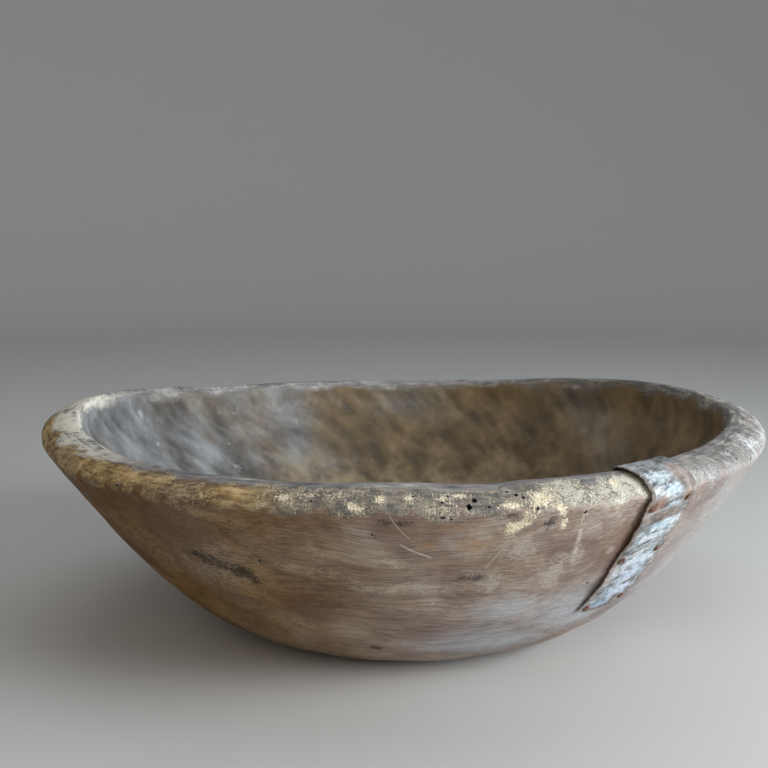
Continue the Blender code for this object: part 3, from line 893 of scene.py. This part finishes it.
def strap_mesh():
    """The sheet's back, laid over the wall. Its edges are a little ragged, its corners rounded."""
    across, along = np.meshgrid(np.linspace(-0.5, 0.5, STRAP_COLUMNS),
                                np.linspace(0.0, 1.0, STRAP_ROWS))
    past = np.clip(np.abs(across) * STRAP_WIDTH - STRAP_WIDTH / 2 + STRAP_CORNER, 0.0, STRAP_CORNER)
    short = STRAP_CORNER - np.sqrt(STRAP_CORNER**2 - past**2)
    length = STRAP_OUTER_LEG + STRAP_INNER_LEG - 2 * short
    along = along * length - STRAP_INNER_LEG + short
    ragged = SIDE_RAGGEDNESS * (np.sin(along * 610 + 4 * across) + np.sin(along * 1730 - 5 * across))
    across = across * STRAP_WIDTH + ragged * (np.abs(across) * 2) ** 6
    at_end = along > STRAP_OUTER_LEG - RAGGED_END
    along = along + END_RAGGEDNESS * np.sin(across * 900) * at_end
    lift = strap_lift(along, across)
    points = over_wall(along, STRAP_BEARING, lift, across + STRAP_LEAN * along)
    mesh = grid_mesh("strap", points, closed_round=False)
    mesh.flip_normals()
    keep_place(mesh, "sheet_place", across, along)
    stains = [patches(across, along, *ovals) for ovals in (CRUST, RUST, BROWN_STAIN)]
    keep_place(mesh, "sheet_stains", *stains)
    return mesh


def crust_colour(t, along, cloud, mottle, dust, fine_ridges):
    """The crust: white, pale blue and grey, bluer further down the strap."""
    clean = t.fit(t.blend((cloud, 0.4), (mottle, 0.3), (fine_ridges, 0.3)), 0.44, 0.54)
    dirty = t.fit(t.blend((fine_ridges, 0.6), (dust, 0.4)), 0.50, 0.60, 0.0, 0.85)
    colour = colour_mix(t, PALE_BLUE_CRUST, WHITE_CRUST, clean)
    colour = colour_mix(t, colour, GREY_CRUST, dirty)
    return colour_mix(t, colour, BLUE_TINT, t.fit(along, 0.070, 0.095), "MULTIPLY")


def galvanised_sheet():
    """Dull zinc with hammered dark streaks, a white and pale blue crust, rust and brown stain."""
    made, t, shader = new_material("galvanised_sheet")
    point = t.add("ShaderNodeTexCoord").outputs["Object"]
    across, along, _ = kept_values(t, "sheet_place")
    crust, rust, stain = kept_values(t, "sheet_stains")
    tilted = t.blend((along, 1.0), (across, 0.30))
    ridge_place = t.join(t.product(across, 55.0), t.product(tilted, 260.0), 0.0)
    ridges = t.noise(ridge_place, 1.0, 4.0, 0.6)
    fine_ridges = t.noise(ridge_place, 3.0, 3.0, 0.6)
    mottle = t.noise(point, 260.0, 4.0, 0.65)
    dust = t.noise(point, 1100.0, 2.0, 0.7)
    cloud = t.noise(point, 70.0, 3.0, 0.6)

    zinc = colour_ramp(t, t.blend((ridges, 0.45), (mottle, 0.30), (cloud, 0.25)),
                       (0.40, (0.090, 0.092, 0.090)), (0.46, (0.220, 0.224, 0.220)),
                       (0.52, (0.380, 0.388, 0.385)), (0.59, (0.560, 0.575, 0.575)))
    stained = t.fit(t.blend((stain, 1.0), (cloud, 0.5), (mottle, 0.4)), 0.75, 1.15)
    browns = colour_ramp(t, t.blend((cloud, 0.5), (mottle, 0.5)), (0.42, (0.110, 0.085, 0.060)),
                         (0.50, (0.200, 0.150, 0.115)), (0.58, (0.340, 0.260, 0.225)))
    colour = colour_mix(t, zinc, browns, t.product(stained, 0.85))
    crusted = t.fit(t.blend((crust, 0.9), (ridges, 0.9), (fine_ridges, 1.0), (mottle, 0.9)),
                    1.92, 2.30)
    whites = crust_colour(t, along, cloud, mottle, dust, fine_ridges)
    colour = colour_mix(t, colour, whites, t.product(crusted, 0.90))
    rusted = t.fit(t.blend((rust, 0.9), (cloud, 0.8), (mottle, 0.8)), 1.15, 1.65)
    rusts = colour_ramp(t, t.blend((mottle, 0.6), (dust, 0.4)), (0.42, (0.130, 0.062, 0.038)),
                        (0.50, (0.270, 0.140, 0.090)), (0.58, (0.400, 0.255, 0.180)))
    colour = colour_mix(t, colour, rusts, t.product(rusted, 0.88))
    t.put(shader, "Base Color", colour)
    covered = t.math("MAXIMUM", t.math("MAXIMUM", crusted, rusted), t.product(stained, 0.8))
    t.put(shader, "Metallic", t.fit(covered, 0.0, 0.8, 0.35, 0.0))
    t.put(shader, "Roughness", t.fit(covered, 0.0, 1.0, 0.46, 0.80))
    height = t.blend((t.product(crusted, mottle), 1.2), (fine_ridges, 0.35), (dust, 0.20),
                     (t.product(rusted, mottle), 0.8))
    bump = t.add("ShaderNodeBump", Strength=0.8, Distance=0.0005, Height=height)
    t.put(shader, "Normal", bump.outputs[0])
    return made


strap = new_piece("strap", strap_mesh())
strap.data.materials.append(galvanised_sheet())
sheet = strap.modifiers.new("sheet", "SOLIDIFY")
sheet.thickness = STRAP_THICKNESS
sheet.offset = 1.0
sheet.use_even_offset = True
keep_modifiers(strap)
smooth(strap, 50.0)
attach(strap, "root")
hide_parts("rim_strap")


# --- The nails ----------------------------------------------------------------------------------
# Short iron nails with low domed heads, rusted to the sheet. Each is driven square to the wall, a
# little askew, and no two heads are quite alike.

NAIL_HEAD_RADIUS = 0.0024
NAIL_HEAD_HEIGHT = 0.0011
NAIL_HEAD_EDGE = 0.0004
NAIL_SHANK_RADIUS = 0.0011
NAIL_LENGTH = 0.0115
NAIL_POINT = 0.0035
NAIL_SIDES = 20
NAIL_SINK = 0.00005


def turned_mesh(name, profile, steps):
    """A mesh turned round Z from a profile of radii and heights."""
    turn, radius = np.meshgrid(np.linspace(0.0, 2 * pi, steps, endpoint=False), profile[:, 0])
    height = np.repeat(profile[:, 1:], steps, axis=1)
    points = np.stack([radius * np.cos(turn), radius * np.sin(turn), height], -1)
    return grid_mesh(name, points, closed_round=True)


def nail_mesh():
    """One nail with its head up: a low dome, a shank and a drawn point."""
    rise = np.linspace(0.0, pi / 2, 8)[1:]
    dome = np.stack([NAIL_HEAD_RADIUS * np.sin(rise),
                     NAIL_HEAD_EDGE + (NAIL_HEAD_HEIGHT - NAIL_HEAD_EDGE) * np.cos(rise)], -1)
    shank = [(NAIL_HEAD_RADIUS, 0.0), (NAIL_SHANK_RADIUS, 0.0),
             (NAIL_SHANK_RADIUS, NAIL_POINT - NAIL_LENGTH)]
    mesh = turned_mesh("nail", np.vstack([dome, shank]), NAIL_SIDES)
    close_ends(mesh, NAIL_SIDES, NAIL_HEAD_HEIGHT, -NAIL_LENGTH)
    return mesh


def nailing_tree():
    """A nail at each point, its head turned out along the point's own direction, with a random
    turn, tilt and size, and a hammered face."""
    tree = bpy.data.node_groups.new("nailing", "GeometryNodeTree")
    named_inputs(tree, [
        ("Places", "Geometry", None),
        ("Nail", "Object", None),
        ("Tilt", "Float", radians(7.0)),
        ("Smallest", "Float", 0.90),
        ("Largest", "Float", 1.10),
        ("Hammering", "Float", 0.00035),
        ("Seed", "Int", 4),
        ("Iron", "Material", None),
    ])
    tree.interface.new_socket("Nails", in_out="OUTPUT", socket_type="NodeSocketGeometry")
    t = Tree(tree)
    given = t.add("NodeGroupInput").outputs
    outward = t.add("GeometryNodeInputNamedAttribute", {"data_type": "FLOAT_VECTOR"},
                    Name="outward").outputs[0]
    upright = t.add("FunctionNodeAlignRotationToVector", {"axis": "Z"}, Vector=outward).outputs[0]

    def chance(kind, low, high):
        node = t.add("FunctionNodeRandomValue", {"data_type": kind}, Seed=given["Seed"])
        for number, socket in enumerate(node.inputs):
            if socket.enabled and socket.name in ("Min", "Max"):
                t.put(node, str(number), low if socket.name == "Min" else high)
        return next(socket for socket in node.outputs if socket.enabled)

    tilt_down = t.math("MULTIPLY", given["Tilt"], -1.0)
    askew = chance("FLOAT_VECTOR", (-1.0, -1.0, 0.0), (1.0, 1.0, 1.0))
    lean_x, lean_y, spin = t.parts(askew)
    euler = t.join(t.product(lean_x, tilt_down), t.product(lean_y, tilt_down),
                   t.product(spin, 2 * pi))
    tilted = t.add("FunctionNodeRotateRotation", {"rotation_space": "LOCAL"})
    t.put(tilted, "0", upright)
    t.put(tilted, "1", t.add("FunctionNodeEulerToRotation", Euler=euler).outputs[0])
    body = t.add("GeometryNodeObjectInfo", Object=given["Nail"]).outputs["Geometry"]
    driven = t.add("GeometryNodeInstanceOnPoints", Points=given["Places"], Instance=body,
                   Rotation=tilted.outputs[0],
                   Scale=chance("FLOAT", given["Smallest"], given["Largest"]))
    whole = t.add("GeometryNodeRealizeInstances", Geometry=driven.outputs[0])
    position = t.add("GeometryNodeInputPosition").outputs[0]
    beaten = t.math("SUBTRACT", t.noise(position, 650.0, 2.0), 0.5)
    cut = t.add("ShaderNodeVectorMath", {"operation": "SCALE"},
                Vector=t.add("GeometryNodeInputNormal").outputs[0],
                Scale=t.product(beaten, given["Hammering"]))
    moved = t.add("GeometryNodeSetPosition", Geometry=whole.outputs[0], Offset=cut.outputs[0])
    dressed = t.add("GeometryNodeSetMaterial", Geometry=moved.outputs[0], Material=given["Iron"])
    t.put(t.add("NodeGroupOutput"), "Nails", dressed.outputs[0])
    return tree


def rusted_iron():
    made, t, shader = new_material("rusted_iron")
    point = t.add("ShaderNodeTexCoord").outputs["Object"]
    scale = t.noise(point, 700.0, 4.0, 0.65)
    flake = t.noise(point, 2200.0, 2.0, 0.6)
    t.put(shader, "Base Color", colour_ramp(
        t, t.blend((scale, 0.65), (flake, 0.35)), (0.40, (0.040, 0.022, 0.015)),
        (0.50, (0.120, 0.055, 0.032)), (0.58, (0.260, 0.130, 0.075)), (0.66, (0.420, 0.300, 0.220))))
    t.put(shader, "Metallic", t.fit(scale, 0.35, 0.50, 0.5, 0.0))
    t.put(shader, "Roughness", t.fit(flake, 0.35, 0.65, 0.55, 0.90))
    bump = t.add("ShaderNodeBump", Strength=0.7, Distance=0.0003,
                 Height=t.blend((scale, 0.6), (flake, 0.4)))
    t.put(shader, "Normal", bump.outputs[0])
    return made


def nail_points():
    """A point under each nail's head, on the face of the sheet, with the direction out of it."""
    along, across = np.array(list(nail_places.values())).T
    lift = strap_lift(along, across) + STRAP_THICKNESS

    def place(further, aside, higher):
        return over_wall(along + further, STRAP_BEARING, lift + higher,
                         across + aside + STRAP_LEAN * (along + further))

    step = 0.001
    down = place(step, 0.0, 0.0) - place(-step, 0.0, 0.0)
    right = place(0.0, step, 0.0) - place(0.0, -step, 0.0)
    outward = np.cross(down, right)
    outward /= np.linalg.norm(outward, axis=1)[:, None]
    mesh = bpy.data.meshes.new("nail_points")
    mesh.from_pydata(place(0.0, 0.0, -NAIL_SINK).tolist(), [], [])
    keep_place(mesh, "outward", *outward.T)
    return mesh


nail = new_piece("nail", nail_mesh())
nails = new_piece("strap_nails", nail_points())
run_nodes(nails, nailing_tree(), nail=nail, iron=rusted_iron())
bpy.data.objects.remove(nail)
smooth(nails, 55.0)
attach(nails, "root")
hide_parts(*nail_places)


# --- Camera, light and floor --------------------------------------------------------------------
# A pale floor that sweeps up into a pale wall all round, a cool window on the right, and a little
# warm light from the room on the left.

CAMERA_PLACE = (-0.0170, -0.7657, 0.2635)
CAMERA_LENS = 51.6
LOOKING_DOWN = radians(7.72)
DAYLIGHT_COLOUR = (0.75, 0.82, 0.90)
DAYLIGHT_STRENGTH = 0.35
FLOOR_COLOUR = (0.62, 0.60, 0.57)

camera_data = bpy.data.cameras.new("camera")
camera_data.lens = CAMERA_LENS
camera_data.sensor_width = 36.0
camera_data.clip_start = 0.02
camera = bpy.data.objects.new("camera", camera_data)
camera.location = CAMERA_PLACE
camera.rotation_euler = (pi / 2 - LOOKING_DOWN, 0.0, 0.0)
bpy.context.scene.collection.objects.link(camera)
bpy.context.scene.camera = camera
bpy.context.scene.view_settings.view_transform = "Standard"


def soft_light(name, place, aim, size, power, colour):
    data = bpy.data.lights.new(name, "AREA")
    data.shape = "RECTANGLE"
    data.size, data.size_y = size
    data.energy = power
    data.color = colour
    made = bpy.data.objects.new(name, data)
    made.location = place
    made.rotation_euler = (Vector(aim) - Vector(place)).to_track_quat("-Z", "Y").to_euler()
    bpy.context.scene.collection.objects.link(made)


soft_light("window", (1.25, -0.55, 0.50), (0.0, 0.0, 0.08), (0.8, 0.7), 27.0, (0.84, 0.92, 1.0))
soft_light("room", (-0.2, -1.4, 0.8), (0.0, 0.0, 0.05), (1.0, 0.8), 3.5, (1.0, 0.86, 0.70))
soft_light("ceiling", (0.0, 0.2, 1.6), (0.0, 0.0, 0.0), (1.4, 1.4), 4.0, (0.95, 0.97, 1.0))

world = bpy.data.worlds.new("world")
world.use_nodes = True
daylight = world.node_tree.nodes["Background"]
daylight.inputs["Color"].default_value = (*DAYLIGHT_COLOUR, 1.0)
daylight.inputs["Strength"].default_value = DAYLIGHT_STRENGTH
bpy.context.scene.world = world

FLOOR_RADIUS, SWEEP_RADIUS, WALL_HEIGHT = 2.2, 0.9, 2.6
FLOOR_DROP = 0.0002
SWEEP_STEPS = 16
FLOOR_SIDES = 96


def studio_profile():
    """The floor from under the bowl outwards, its sweep and the wall, as radii and heights. It
    lies just under the bowl's base, so that the two faces don't coincide."""
    flat = [(0.02, -FLOOR_DROP), (1.0, -FLOOR_DROP)]
    turns = [pi / 2 * k / SWEEP_STEPS for k in range(SWEEP_STEPS + 1)]
    sweep = [(FLOOR_RADIUS + SWEEP_RADIUS * sin(a), SWEEP_RADIUS * (1 - cos(a))) for a in turns]
    return np.array([*flat, *sweep, (FLOOR_RADIUS + SWEEP_RADIUS, WALL_HEIGHT)])


floor = new_piece("floor", turned_mesh("floor", studio_profile(), FLOOR_SIDES))
floor.data.shade_smooth()
floor_paint, _, floor_shader = new_material("floor_paint")
floor_shader.inputs["Base Color"].default_value = (*FLOOR_COLOUR, 1.0)
floor_shader.inputs["Roughness"].default_value = 0.85
floor.data.materials.append(floor_paint)
